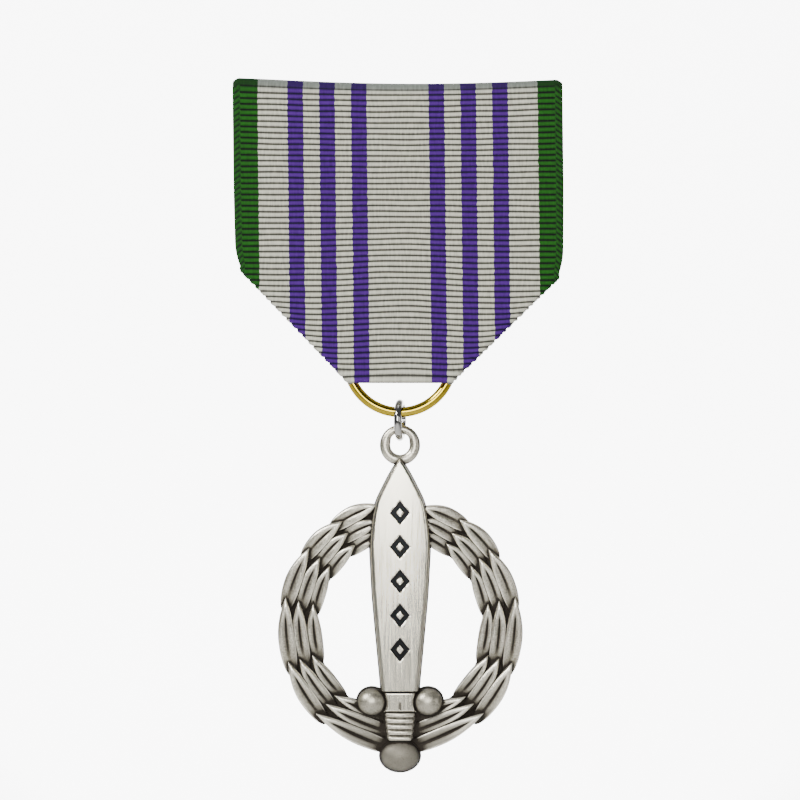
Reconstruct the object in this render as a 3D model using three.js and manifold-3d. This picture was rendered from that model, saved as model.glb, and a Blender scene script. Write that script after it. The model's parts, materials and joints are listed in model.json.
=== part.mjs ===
// A full-size medal on a pin-back ribbon drape.
// A slotted brooch frame carries the pin, its hinge and its safety catch.
// The ribbon loops round the frame's top bar, and a tape tab on its back holds the suspension ring.
// A jump ring links that ring to the loop of an openwork pendant: a wreath with an applied sword.
// Units are millimetres. +Z is up, the front faces -Y and +X is to the right seen from the front.
// The origin is the middle of the brooch plate's back face, which lies against the cloth.
import * as THREE from "three";
import { mergeVertices } from "three/addons/utils/BufferGeometryUtils.js";
import Module from "manifold-3d";

const wasm = await Module();
wasm.setup();

// ---- Driving dimensions ----

// Shorter edges are merged away when a boolean result becomes a mesh
const FINEST_EDGE = 0.004;

// Brooch frame
const FRAME_WIDTH = 34.4;
const FRAME_THICKNESS = 0.8;
const PLATE_HEIGHT = 6.5;
const SLOT_HEIGHT = 2.1;
const SLOT_WIDTH = 32.4;
const BAR_HEIGHT = 1.0;
const FRAME_CORNER = 0.5;

// Pin line: the stem runs along X behind the plate
const PIN_Y = 1.9;
const HINGE_X = -13.3;
const CATCH_X = 13.0;
const RIVET_RADIUS = 0.35;
const STEM_RADIUS = 0.4;
const STEM_TIP_X = 15.6;

// Ribbon
const RIBBON_WIDTH = 35;
const RIBBON_LENGTH = 32.55;
const CLOTH = 0.4;
const CREASE_DROP_LEFT = 20.1;
const CREASE_DROP_RIGHT = 20.9;
const BOTTOM_HALF_WIDTH = 5.6;
const LOOP_RISE = 1.6;
const LOOP_DEPTH = 1.25;
const LOOP_WALL = 0.45;
const LOOP_TOP_WALL = 0.7;
const SIDE_PLAY = 0.4;
const HEM_HEIGHT = 2.0;
const FLAP_SPAN = 11;

// Rings
const RING_OUTER = 12.3;
const RING_WIRE = 1.1;
const RING_ABOVE_HEM = 2.6;
const JUMP_OUTER = 4.5;
const JUMP_WIRE = 0.8;
const JUMP_YAW = THREE.MathUtils.degToRad(8);
const LOOP_OUTER = 4.3;
const LOOP_WIRE = 0.88;
const LINK_GAP = 0.06;
const SEAT_GAP = 0.05;

// Pendant, measured down from the centre of its loop
const BLADE_TIP = 1.35;
const BLADE_FOOT = 26.0;
const WREATH_DROP = 19.47;
const WREATH_OUTER = 12.7;
const WREATH_INNER = 8.6;
const WREATH_STRETCH = 1.06;
const GUARD_TOP = 26.2;
const GUARD_FOOT = 28.36;
const GRIP_FOOT = 31.5;
const GRIP_TOP_RADIUS = 1.76;
const GRIP_FOOT_RADIUS = 1.4;
const GRIP_FLATNESS = 0.62;
const POMMEL_DROP = 32.97;
const BALL_DROP = 27.32;
const BALL_SPACING = 2.99;
const BED_MARGIN = 0.27;
const BED_THICKNESS = 0.8;
const BED_BACK = 0.5;
const MARK_FIRST_DROP = 7.17;
const MARK_PITCH = 3.63;
const MARK_COUNT = 5;
const MARK_HALF_HEIGHT = 1.2;
const MARK_HALF_WIDTH = 1.0;
const MARK_ISLAND = 0.46;
const MARK_DEPTH = 0.25;

// ---- Derived places ----

const SLOT_FOOT = PLATE_HEIGHT / 2;
const BAR_FOOT = SLOT_FOOT + SLOT_HEIGHT;
const BAR_Z = BAR_FOOT + BAR_HEIGHT / 2;
const BAR_Y = -FRAME_THICKNESS / 2;
const RIBBON_TOP = BAR_Z + LOOP_RISE;
const RIBBON_FOOT = RIBBON_TOP - RIBBON_LENGTH;
const PANEL_FRONT = BAR_Y - LOOP_DEPTH;
const PANEL_BACK = PANEL_FRONT + CLOTH;
const FOLD_BACK = PANEL_BACK + CLOTH + 0.02;

const RING_MID = (RING_OUTER - RING_WIRE) / 2;
const RING_Y = FOLD_BACK + SEAT_GAP + RING_WIRE / 2;
const RING_Z = RIBBON_FOOT + RING_ABOVE_HEM;
const RING_LOW_Z = RING_Z - RING_MID;
const JUMP_MID = (JUMP_OUTER - JUMP_WIRE) / 2;
const JUMP_Z = RING_LOW_Z + RING_WIRE / 2 + LINK_GAP + JUMP_WIRE / 2 - JUMP_MID;
const JUMP_LOW_Z = JUMP_Z - JUMP_MID;
const LOOP_MID = (LOOP_OUTER - LOOP_WIRE) / 2;
const LOOP_Z = JUMP_LOW_Z + JUMP_WIRE / 2 + LINK_GAP + LOOP_WIRE / 2 - LOOP_MID;

const BED_FRONT = BED_BACK - BED_THICKNESS;
const BAND_FRONT = BED_FRONT + 0.12;
const SWORD_BACK = BED_FRONT - SEAT_GAP;
const BLADE_EDGE_Y = BED_FRONT - 0.75;
const BLADE_RIDGE_Y = BED_FRONT - 0.95;
const WREATH_Z = LOOP_Z - WREATH_DROP;

// ---- Materials ----

function metal(colour, roughness) {
  return new THREE.MeshStandardMaterial({ color: colour, metalness: 1, roughness });
}

const gilding = metal(0xcaa24a, 0.25);
const nickel = metal(0xc4c4c0, 0.2);
const antiqueSilver = metal(0xaaa698, 0.4);
const satinSilver = metal(0xbdb9aa, 0.35);
const enamel = new THREE.MeshStandardMaterial({ color: 0x101114, roughness: 0.3 });
const grosgrain = new THREE.MeshStandardMaterial({ color: 0xc3c4bc, roughness: 0.9 });
const cottonTape = new THREE.MeshStandardMaterial({ color: 0xbdbeb8, roughness: 0.95 });

// ---- Solids ----

// A closed three.js geometry as a manifold solid.
function solid(geometry) {
  const bare = geometry.clone();
  bare.deleteAttribute("normal");
  bare.deleteAttribute("uv");
  const merged = mergeVertices(bare, 1e-4);
  return new wasm.Manifold(
    new wasm.Mesh({
      numProp: 3,
      vertProperties: merged.attributes.position.array,
      triVerts: new Uint32Array(merged.index.array),
    }),
  );
}

// A manifold solid as a three.js geometry.
function geometryOf(body) {
  const mesh = body.simplify(FINEST_EDGE).getMesh();
  const geometry = new THREE.BufferGeometry();
  geometry.setAttribute("position", new THREE.BufferAttribute(mesh.vertProperties, 3));
  geometry.setIndex(new THREE.BufferAttribute(mesh.triVerts, 1));
  geometry.computeVertexNormals();
  return geometry;
}

// All the bodies joined into one.
function joined(...bodies) {
  return bodies.reduce((whole, body) => whole.add(body));
}

// A shape drawn in X and Z, extruded between two depths in Y.
function plate(shape, front, back, segments = 8) {
  const options = { depth: back - front, bevelEnabled: false, curveSegments: segments };
  const geometry = new THREE.ExtrudeGeometry(shape, options);
  return solid(geometry.rotateX(Math.PI / 2).translate(0, back, 0));
}

// A shape drawn in Y and Z, extruded between two places in X.
function bar(shape, left, right, segments = 8) {
  const options = { depth: right - left, bevelEnabled: false, curveSegments: segments };
  const geometry = new THREE.ExtrudeGeometry(shape, options);
  return solid(geometry.rotateX(Math.PI / 2).rotateZ(Math.PI / 2).translate(left, 0, 0));
}

// A shape through points given as [across, up].
function outline(points) {
  return new THREE.Shape(points.map(([across, up]) => new THREE.Vector2(across, up)));
}

function rectangle(left, right, foot, top) {
  return outline([[left, foot], [right, foot], [right, top], [left, top]]);
}

function box(low, high) {
  const size = high.map((value, i) => value - low[i]);
  const middle = high.map((value, i) => (value + low[i]) / 2);
  return solid(new THREE.BoxGeometry(...size).translate(...middle));
}

// A wire ring whose hole runs along Y.
function wireRing(middleRadius, wire, around, section = 12) {
  return new THREE.TorusGeometry(middleRadius, wire / 2, section, around).rotateX(Math.PI / 2);
}

function cylinderAlongZ(radius, foot, top, segments = 20) {
  const geometry = new THREE.CylinderGeometry(radius, radius, top - foot, segments);
  return geometry.rotateX(Math.PI / 2).translate(0, 0, (top + foot) / 2);
}

const medal = new THREE.Group();

function place(name, geometry, material, parent = medal) {
  const mesh = new THREE.Mesh(geometry, material);
  mesh.name = name;
  parent.add(mesh);
  return mesh;
}

// ---- Brooch ----

// The stamped frame: a plate, a slot for the ribbon and a slim bar above it.
function broochFrame() {
  const half = FRAME_WIDTH / 2;
  const top = BAR_Z + BAR_HEIGHT / 2;
  const shape = new THREE.Shape();
  shape.moveTo(-half + FRAME_CORNER, -SLOT_FOOT);
  shape.lineTo(half - FRAME_CORNER, -SLOT_FOOT);
  shape.absarc(half - FRAME_CORNER, -SLOT_FOOT + FRAME_CORNER, FRAME_CORNER, -Math.PI / 2, 0);
  shape.lineTo(half, top - FRAME_CORNER);
  shape.absarc(half - FRAME_CORNER, top - FRAME_CORNER, FRAME_CORNER, 0, Math.PI / 2);
  shape.lineTo(-half + FRAME_CORNER, top);
  shape.absarc(-half + FRAME_CORNER, top - FRAME_CORNER, FRAME_CORNER, Math.PI / 2, Math.PI);
  shape.lineTo(-half, -SLOT_FOOT + FRAME_CORNER);
  const foot = -SLOT_FOOT + FRAME_CORNER;
  shape.absarc(-half + FRAME_CORNER, foot, FRAME_CORNER, Math.PI, 1.5 * Math.PI);
  shape.holes.push(rectangle(-SLOT_WIDTH / 2, SLOT_WIDTH / 2, SLOT_FOOT, BAR_FOOT));
  return plate(shape, -FRAME_THICKNESS, 0, 4);
}

// The bracket soldered behind the plate: a base and two drilled ears.
function hingeBracket() {
  const base = box([HINGE_X - 1.6, SEAT_GAP, -1.4], [HINGE_X + 1.3, 0.45, 1.4]);
  const ear = new THREE.Shape();
  ear.moveTo(-1.2, 0.2);
  ear.lineTo(1.2, 0.2);
  ear.lineTo(0.9, PIN_Y);
  ear.absarc(0, PIN_Y, 0.9, 0, Math.PI);
  ear.lineTo(-0.9, PIN_Y);
  const hole = new THREE.Path().absarc(0, PIN_Y, RIVET_RADIUS + 0.05, 0, 2 * Math.PI, true);
  ear.holes.push(hole);
  const ears = [-1.15, 0.75].map((foot) => {
    const options = { depth: 0.4, bevelEnabled: false, curveSegments: 8 };
    return solid(new THREE.ExtrudeGeometry(ear, options).translate(HINGE_X, 0, foot));
  });
  return joined(base, ...ears);
}

// The rivet the pin turns on, with a head at each end.
function hingeRivet() {
  const profile = [
    [0, -1.45],
    [0.55, -1.45],
    [0.6, -1.2],
    [RIVET_RADIUS, -1.2],
    [RIVET_RADIUS, 1.2],
    [0.6, 1.2],
    [0.55, 1.45],
    [0, 1.45],
  ];
  const points = profile.map(([radius, up]) => new THREE.Vector2(radius, up));
  return new THREE.LatheGeometry(points, 16).rotateX(Math.PI / 2).translate(HINGE_X, PIN_Y, 0);
}

// The pin: an eye round the rivet and a stem that tapers to a point past the catch.
function pinStem() {
  const eye = solid(cylinderAlongZ(0.85, -0.65, 0.65).translate(HINGE_X, PIN_Y, 0));
  const bore = solid(cylinderAlongZ(RIVET_RADIUS + 0.07, -1, 1).translate(HINGE_X, PIN_Y, 0));
  const profile = [
    [0, 0.55],
    [STEM_RADIUS, 0.55],
    [STEM_RADIUS, 20],
    [STEM_RADIUS * 0.8, 26.2],
    [0, STEM_TIP_X - HINGE_X],
  ];
  const points = profile.map(([radius, along]) => new THREE.Vector2(radius, along));
  const stem = new THREE.LatheGeometry(points, 12).rotateZ(-Math.PI / 2);
  return joined(eye, solid(stem.translate(HINGE_X, PIN_Y, 0))).subtract(bore);
}

// An arc of a ring drawn in Y and Z round the pin line, open on the side that faces away from the plate.
function openRing(inner, outer, halfOpening) {
  const shape = new THREE.Shape();
  const [start, end] = [halfOpening, 2 * Math.PI - halfOpening];
  shape.absarc(PIN_Y, 0, outer, start, end, false);
  shape.absarc(PIN_Y, 0, inner, end, start, true);
  return shape;
}

const CATCH_CHEEK = 0.7;
const ROTOR_HALF_WIDTH = 0.6;
const ROTOR_OUTER = 1.12;
const ROTOR_PLAY = 0.08;
const CATCH_OUTER = 1.45;
const CRADLE_OPENING = 1.35;
const ROTOR_OPENING = 0.35;
const THROAT_HALF = 0.52;
const BORE_RADIUS = 0.56;
const LOCK_TAB_START = 0.85;
const LOCK_TAB_LENGTH = 1.9;
const LOCK_TAB_THICKNESS = 0.36;
const LOCK_TAB_TILT = -40;

// The catch body: two cheeks with a throat, a cradle round the lock between them, and a foot.
function catchBody() {
  const cradleRing = openRing(ROTOR_OUTER + ROTOR_PLAY, CATCH_OUTER, CRADLE_OPENING);
  const cradle = bar(cradleRing, CATCH_X - CATCH_CHEEK, CATCH_X + CATCH_CHEEK, 12);
  const cheeks = [-1, 1].map((side) => {
    const near = CATCH_X + side * (ROTOR_HALF_WIDTH + ROTOR_PLAY);
    const far = near + side * CATCH_CHEEK;
    const ring = openRing(BORE_RADIUS, CATCH_OUTER, Math.asin(THROAT_HALF / CATCH_OUTER));
    const cheek = bar(ring, Math.min(near, far), Math.max(near, far), 12);
    const throat = box([CATCH_X - 3, PIN_Y, -THROAT_HALF], [CATCH_X + 3, 5, THROAT_HALF]);
    return cheek.subtract(throat);
  });
  const reach = ROTOR_HALF_WIDTH + ROTOR_PLAY + CATCH_CHEEK;
  const foot = box([CATCH_X - reach, SEAT_GAP, -1.3], [CATCH_X + reach, PIN_Y - 1.25, 1.3]);
  return joined(cradle, ...cheeks, foot);
}

// The lock: a slotted roller in the catch, with a thumb tab that turns it shut.
function catchLock() {
  const left = CATCH_X - ROTOR_HALF_WIDTH;
  const right = CATCH_X + ROTOR_HALF_WIDTH;
  const roller = bar(openRing(BORE_RADIUS, ROTOR_OUTER, ROTOR_OPENING), left, right, 12);
  const throat = box([left - 1, PIN_Y, -THROAT_HALF], [right + 1, 5, THROAT_HALF]);
  const reach = LOCK_TAB_START + LOCK_TAB_LENGTH / 2;
  const blank = new THREE.BoxGeometry(2 * ROTOR_HALF_WIDTH, LOCK_TAB_THICKNESS, LOCK_TAB_LENGTH);
  const tab = solid(blank.translate(0, 0, reach));
  const turned = tab.rotate([LOCK_TAB_TILT, 0, 0]).translate([CATCH_X, PIN_Y, 0]);
  return joined(roller.subtract(throat), turned);
}

place("brooch_frame", geometryOf(broochFrame()), gilding);
place("hinge_bracket", geometryOf(hingeBracket()), gilding);
place("hinge_rivet", hingeRivet(), gilding);
place("pin_stem", geometryOf(pinStem()), nickel);
place("catch_body", geometryOf(catchBody()), gilding);
place("catch_lock", geometryOf(catchLock()), gilding);

// ---- Ribbon ----

// The ribbon: a front panel folded to a blunt point, its loop round the bar, and the folds behind it.
function ribbon() {
  const half = RIBBON_WIDTH / 2;
  const tangent = BAR_Z;
  const panel = plate(
    outline([
      [-half, tangent],
      [-half, RIBBON_TOP - CREASE_DROP_LEFT],
      [-BOTTOM_HALF_WIDTH, RIBBON_FOOT],
      [BOTTOM_HALF_WIDTH, RIBBON_FOOT],
      [half, RIBBON_TOP - CREASE_DROP_RIGHT],
      [half, tangent],
    ]),
    PANEL_FRONT,
    PANEL_BACK,
  );
  const loop = new THREE.Shape().absellipse(BAR_Y, BAR_Z, LOOP_DEPTH, LOOP_RISE, 0, 2 * Math.PI);
  const core = new THREE.Path();
  const coreSize = [LOOP_DEPTH - LOOP_WALL, LOOP_RISE - LOOP_TOP_WALL];
  core.absellipse(BAR_Y, BAR_Z, ...coreSize, 0, 2 * Math.PI, true);
  loop.holes.push(core);
  const tail = bar(loop, -SLOT_WIDTH / 2 + SIDE_PLAY, SLOT_WIDTH / 2 - SIDE_PLAY, 10);
  const overBar = box([-half, PANEL_FRONT - 1, BAR_Z], [half, BAR_Y + 0.3, RIBBON_TOP + 1]);
  const brow = bar(loop, -half, half, 10).intersect(overBar);
  const flaps = [
    [-1, RIBBON_TOP - CREASE_DROP_LEFT],
    [1, RIBBON_TOP - CREASE_DROP_RIGHT],
  ].map(([side, crease]) => {
    const drop = crease - RIBBON_FOOT;
    const run = half - BOTTOM_HALF_WIDTH;
    const inner = half - FLAP_SPAN;
    const meets = crease - (drop * FLAP_SPAN) / run;
    const points = [[half, crease], [inner, crease], [inner, meets]];
    const ordered = side > 0 ? points : points.map(([x, z]) => [-x, z]).reverse();
    return plate(outline(ordered), PANEL_BACK - 0.02, FOLD_BACK);
  });
  const hemHalf = BOTTOM_HALF_WIDTH - 0.5;
  const hemShape = rectangle(-hemHalf, hemHalf, RIBBON_FOOT, RIBBON_FOOT + HEM_HEIGHT);
  const hem = plate(hemShape, PANEL_BACK - 0.02, FOLD_BACK);
  return joined(panel, tail, brow, ...flaps, hem);
}

const TAB_HALF_WIDTH = 3;
const TAB_FOLD_RISE = 0.7;
const TAB_TOP_RISE = 3.4;

// The tape tab: doubled round the ring's upper arc, with its ends sewn flat to the ribbon above it.
function ringTab() {
  const under = RING_MID - RING_WIRE / 2 - SEAT_GAP - CLOTH;
  const reach = Math.asin(TAB_HALF_WIDTH / under);
  const crown = RING_OUTER / 2 + TAB_FOLD_RISE;
  const saddle = new THREE.Shape();
  saddle.absarc(0, 0, under, Math.PI / 2 - reach, Math.PI / 2 + reach, false);
  saddle.lineTo(-TAB_HALF_WIDTH, crown);
  saddle.lineTo(TAB_HALF_WIDTH, crown);
  const front = PANEL_BACK + SEAT_GAP;
  const behind = RING_Y + RING_WIRE / 2 + SEAT_GAP + CLOTH;
  const fold = plate(saddle, front, behind, 12);
  const endsTop = crown + TAB_TOP_RISE;
  const ends = rectangle(-TAB_HALF_WIDTH, TAB_HALF_WIDTH, crown - 1, endsTop);
  const sewn = plate(ends, front, front + 2 * CLOTH);
  const channel = solid(wireRing(RING_MID, RING_WIRE + 2 * SEAT_GAP, 96)).translate([0, RING_Y, 0]);
  return joined(fold, sewn).subtract(channel).translate([0, 0, RING_Z]);
}

place("ribbon", geometryOf(ribbon()), grosgrain);
place("ring_tab", geometryOf(ringTab()), cottonTape);

// ---- Links ----

place("suspension_ring", wireRing(RING_MID, RING_WIRE, 72, 12), gilding).position.set(0, RING_Y, RING_Z);
const jumpRing = wireRing(JUMP_MID, JUMP_WIRE, 40, 12).rotateZ(Math.PI / 2 - JUMP_YAW);
place("jump_ring", jumpRing, nickel).position.set(0, RING_Y, JUMP_Z);

// ---- Pendant ----

// The blade's right edge from its foot to its tip, as [half width, drop below the loop's centre].
const BLADE_EDGE = [
  [1.98, BLADE_FOOT],
  [2.36, 22.05],
  [2.92, 16.0],
  [3.2, 10.7],
  [3.02, 8.3],
  [2.62, 6.06],
  [0.95, 2.75],
];

// A shape that is the same on both sides of the pendant's upright axis.
function mirrored(right, tipDrop) {
  const left = right.map(([across, drop]) => [-across, drop]).reverse();
  const points = tipDrop === undefined ? [...right, ...left] : [...right, [0, tipDrop], ...left];
  return outline(points.map(([across, drop]) => [across, LOOP_Z - drop]));
}

function ellipse(acrossMiddle, drop, halfAcross, halfUp) {
  return new THREE.Shape().absellipse(acrossMiddle, LOOP_Z - drop, halfAcross, halfUp, 0, 2 * Math.PI);
}

const BALL_HALF_WIDTH = 1.55;
const BALL_HALF_HEIGHT = 1.44;
const POMMEL_HALF_WIDTH = 2.08;
const POMMEL_HALF_HEIGHT = 1.58;

// Leaves stand in rows: [distance from the wreath's centre, length, width].
const LEAF_ROWS = [
  [12.05, 1.0, 2.05],
  [10.45, 0.94, 1.8],
  [9.05, 0.86, 1.5],
];
// Clusters climb each side: [angle of the tips above the level, length of the outer leaf].
const LEAF_CLUSTERS = [
  [-43.5, 8.2],
  [-16, 7.0],
  [14.5, 7.2],
  [40.5, 6.6],
  [60.5, 5.8],
  [78, 5.4],
];
const BED_POINT = 3.2;
const LEAF_HEIGHT = 0.72;
const LEAF_LEAN = 4;

// One pointed leaf: a spindle flattened towards the wreath's face, with its tip at the origin.
function leaf(length, width) {
  const steps = 6;
  const points = Array.from({ length: steps + 1 }, (_, i) => {
    const along = i / steps;
    const girth = Math.sin(Math.PI * along ** 0.8) ** 0.8;
    return new THREE.Vector2(i % steps ? (girth * width) / 2 : 0, along * length);
  });
  const spindle = new THREE.LatheGeometry(points, 8).rotateX(Math.PI);
  return solid(spindle.rotateX(Math.PI / 2).scale(1, (2 * LEAF_HEIGHT) / width, 1));
}

// Every leaf of one side, left or right, set along a ring round the origin.
function branch(side) {
  return LEAF_CLUSTERS.flatMap(([tip, outerLength]) =>
    LEAF_ROWS.map(([distance, share, width]) => {
      const length = outerLength * share;
      const half = THREE.MathUtils.radToDeg(length / 2 / distance);
      const middle = THREE.MathUtils.degToRad(tip - half);
      const slope = THREE.MathUtils.degToRad(tip - half + LEAF_LEAN);
      const turn = new THREE.Vector3(side * Math.sin(slope), 0, -Math.cos(slope));
      const x = side * distance * Math.cos(middle) - (turn.x * length) / 2;
      const z = distance * Math.sin(middle) - (turn.z * length) / 2;
      const angle = THREE.MathUtils.radToDeg(-side * slope);
      return leaf(length, width).rotate([0, angle, 0]).translate([x, BAND_FRONT, z]);
    }),
  );
}

// The outlines of the raised bed, which follow the sword with a margin round it.
function bedShapes(margin) {
  const edge = BLADE_EDGE.map(([across, drop]) => [across + margin, drop]);
  const gripBed = [
    [GRIP_FOOT_RADIUS + margin, GRIP_FOOT],
    [GRIP_TOP_RADIUS + margin, GUARD_FOOT],
  ];
  const stem = [...gripBed, ...edge.slice(0, -1)];
  const pommelBed = [0, POMMEL_DROP + 0.12, POMMEL_HALF_WIDTH + margin, POMMEL_HALF_HEIGHT + margin];
  const ballBeds = [-1, 1].map((side) => {
    const size = [BALL_HALF_WIDTH + margin, BALL_HALF_HEIGHT + margin];
    return ellipse(side * BALL_SPACING, BALL_DROP, ...size);
  });
  return [mirrored(stem, BED_POINT), ellipse(...pommelBed), ...ballBeds];
}

// The wreath casting: a ring of leaves, a little taller than it is wide, and the raised bed that the
// sword is soldered on.
function wreath() {
  const ring = new THREE.Shape().absarc(0, 0, WREATH_OUTER, 0, 2 * Math.PI);
  ring.holes.push(new THREE.Path().absarc(0, 0, WREATH_INNER, 0, 2 * Math.PI, true));
  const band = plate(ring, BAND_FRONT, BED_BACK - 0.05, 30);
  const round = joined(band, ...branch(-1), ...branch(1));
  const tall = round.scale([1, 1, WREATH_STRETCH]).translate([0, 0, WREATH_Z]);
  const clear = bedShapes(BED_MARGIN - 0.06).map((shape) => plate(shape, -5, BAND_FRONT + 0.06));
  const leaves = tall.subtract(joined(...clear));
  return joined(leaves, ...bedShapes(BED_MARGIN).map((shape) => plate(shape, BED_FRONT, BED_BACK)));
}

// The loop at the pendant's head, its foot notched where the bed's point is brazed in.
function pendantLoop() {
  const ring = solid(wireRing(LOOP_MID, LOOP_WIRE, 36)).translate([0, RING_Y, LOOP_Z]);
  const notch = mirrored(
    BLADE_EDGE.map(([across, drop]) => [across + BED_MARGIN + SEAT_GAP, drop - SEAT_GAP]),
    BLADE_TIP - 2 * SEAT_GAP,
  );
  const foot = box([-3, BED_FRONT + 0.02, LOOP_Z - 3], [3, 3, LOOP_Z - LOOP_MID - 0.1]);
  return ring.subtract(plate(notch, -4, BED_FRONT + 0.02)).subtract(foot);
}

const ROOF_HALF_WIDTH = 3.6;

// A ridged blade: the flat-backed outline cut by two planes that meet on the middle line.
function blade() {
  const body = plate(mirrored(BLADE_EDGE, BLADE_TIP), BLADE_RIDGE_Y, SWORD_BACK);
  const reach = ROOF_HALF_WIDTH;
  const section = outline([
    [-reach, BLADE_EDGE_Y],
    [0, BLADE_RIDGE_Y],
    [reach, BLADE_EDGE_Y],
    [reach, SWORD_BACK + 1],
    [-reach, SWORD_BACK + 1],
  ]);
  const options = { depth: 30, bevelEnabled: false };
  const roof = solid(new THREE.ExtrudeGeometry(section, options).translate(0, 0, LOOP_Z - 28));
  return markDrops().reduce(
    (rest, drop) => rest.subtract(plate(lozenge(drop, 0), BLADE_RIDGE_Y - 1, MARK_FLOOR)),
    body.intersect(roof),
  );
}

const MARK_FLOOR = BLADE_EDGE_Y + MARK_DEPTH;
const MARK_GAP = 0.02;

function markDrops() {
  return Array.from({ length: MARK_COUNT }, (_, i) => MARK_FIRST_DROP + i * MARK_PITCH);
}

// A lozenge ring at the given drop, drawn in by a gap on both its edges.
function lozenge(drop, gap) {
  const corners = (share) => [
    [MARK_HALF_WIDTH * share, 0],
    [0, MARK_HALF_HEIGHT * share],
    [-MARK_HALF_WIDTH * share, 0],
    [0, -MARK_HALF_HEIGHT * share],
  ];
  const shifted = (points) => points.map(([across, up]) => [across, LOOP_Z - drop + up]);
  const ring = outline(shifted(corners(1 - gap)));
  ring.holes.push(outline(shifted(corners(MARK_ISLAND + gap)).reverse()));
  return ring;
}

// The black filling of one lozenge, a little below the blade's face.
function markFilling(drop) {
  return plate(lozenge(drop, MARK_GAP), BLADE_EDGE_Y + 0.02, MARK_FLOOR - MARK_GAP);
}

// The block of the crossguard, waisted between its two balls.
function guardBlock() {
  const waist = [[1.6, GUARD_FOOT], [1.34, 27.6], [1.3, 27.1], [1.38, 26.7], [1.55, GUARD_TOP]];
  return plate(mirrored(waist), BED_FRONT - 0.85, SWORD_BACK);
}

// A dome of the given half sizes that stands forward from the bed.
function dome(halfWidth, depth, halfHeight) {
  const whole = new THREE.SphereGeometry(1, 20, 12).scale(halfWidth, depth, halfHeight);
  return solid(whole).trimByPlane([0, -1, 0], 0).translate([0, SWORD_BACK, 0]);
}

const RIDGE_COUNT = 5;
const RIDGE_DEPTH = 0.16;

// The grip: rounded ridges that narrow towards the pommel.
function grip() {
  const length = GRIP_FOOT - GUARD_FOOT - 0.1;
  const pitch = length / RIDGE_COUNT;
  const top = LOOP_Z - GUARD_FOOT - 0.05;
  const profile = Array.from({ length: RIDGE_COUNT }, (_, i) => {
    const taper = ((GRIP_TOP_RADIUS - GRIP_FOOT_RADIUS) * i) / (RIDGE_COUNT - 1);
    const radius = GRIP_TOP_RADIUS - taper;
    return [
      [radius - RIDGE_DEPTH, top - i * pitch],
      [radius, top - (i + 0.25) * pitch],
      [radius, top - (i + 0.75) * pitch],
    ];
  }).flat();
  const foot = top - length;
  const ends = [[0, top], ...profile, [GRIP_FOOT_RADIUS - RIDGE_DEPTH, foot], [0, foot]];
  const points = ends.reverse().map(([radius, up]) => new THREE.Vector2(radius, up));
  const turned = new THREE.LatheGeometry(points, 24).rotateX(Math.PI / 2).scale(1, GRIP_FLATNESS, 1);
  return solid(turned).trimByPlane([0, -1, 0], 0).translate([0, SWORD_BACK, 0]);
}

const pendant = new THREE.Group();
medal.add(pendant);
place("wreath", geometryOf(wreath()), antiqueSilver, pendant);
place("pendant_loop", geometryOf(pendantLoop()), antiqueSilver, pendant);
place("sword_blade", geometryOf(blade()), satinSilver, pendant);
markDrops().forEach((drop, i) => {
  place(`enamel_lozenge_${i + 1}`, geometryOf(markFilling(drop)), enamel, pendant);
});
place("guard_block", geometryOf(guardBlock()), satinSilver, pendant);
const ballDome = dome(BALL_HALF_WIDTH, 1.3, BALL_HALF_HEIGHT);
[["left", -1], ["right", 1]].forEach(([name, side]) => {
  const ball = ballDome.translate([side * BALL_SPACING, 0, LOOP_Z - BALL_DROP]);
  place(`guard_ball_${name}`, geometryOf(ball), antiqueSilver, pendant);
});
place("grip", geometryOf(grip()), antiqueSilver, pendant);
const pommel = dome(POMMEL_HALF_WIDTH, 1.5, POMMEL_HALF_HEIGHT).translate([0, 0, LOOP_Z - POMMEL_DROP]);
place("pommel", geometryOf(pommel), antiqueSilver, pendant);

export default medal;
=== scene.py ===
"""The look of a full-size medal: striped ribbon drape, rings and a wreath-and-sword pendant.

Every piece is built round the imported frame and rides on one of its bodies. Sizes are in
millimetres in the medal's frame, with +Z up and the front facing -Y, and become metres as a mesh is
made.
"""
import json
import math

import bmesh
import bpy
import numpy as np
from mathutils import Matrix, Vector
from mathutils.bvhtree import BVHTree

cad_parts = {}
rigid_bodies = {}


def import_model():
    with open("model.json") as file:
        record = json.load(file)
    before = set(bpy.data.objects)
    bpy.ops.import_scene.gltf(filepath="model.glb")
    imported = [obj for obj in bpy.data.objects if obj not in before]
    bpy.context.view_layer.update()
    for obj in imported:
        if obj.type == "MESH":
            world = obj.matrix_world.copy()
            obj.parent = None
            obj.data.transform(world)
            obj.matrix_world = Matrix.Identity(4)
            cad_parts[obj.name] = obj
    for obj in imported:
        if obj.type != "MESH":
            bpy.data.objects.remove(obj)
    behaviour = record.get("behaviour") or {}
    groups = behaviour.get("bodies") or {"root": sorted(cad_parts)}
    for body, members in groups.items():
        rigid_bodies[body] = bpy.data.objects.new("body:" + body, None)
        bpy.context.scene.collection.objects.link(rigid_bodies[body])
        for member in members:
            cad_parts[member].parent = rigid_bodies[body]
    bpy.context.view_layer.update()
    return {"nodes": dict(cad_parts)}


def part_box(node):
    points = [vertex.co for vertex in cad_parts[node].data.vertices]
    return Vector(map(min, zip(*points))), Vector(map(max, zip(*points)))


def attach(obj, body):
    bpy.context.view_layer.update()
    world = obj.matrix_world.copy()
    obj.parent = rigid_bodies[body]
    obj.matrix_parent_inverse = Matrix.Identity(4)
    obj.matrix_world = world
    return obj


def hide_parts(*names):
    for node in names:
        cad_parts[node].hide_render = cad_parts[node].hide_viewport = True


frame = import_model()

MM = 0.001


# ---- Places taken from the frame ----

def box_mm(node):
    """Lowest and highest corner of a CAD node, in millimetres."""
    low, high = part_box(node)
    return np.array(low) / MM, np.array(high) / MM


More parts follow.
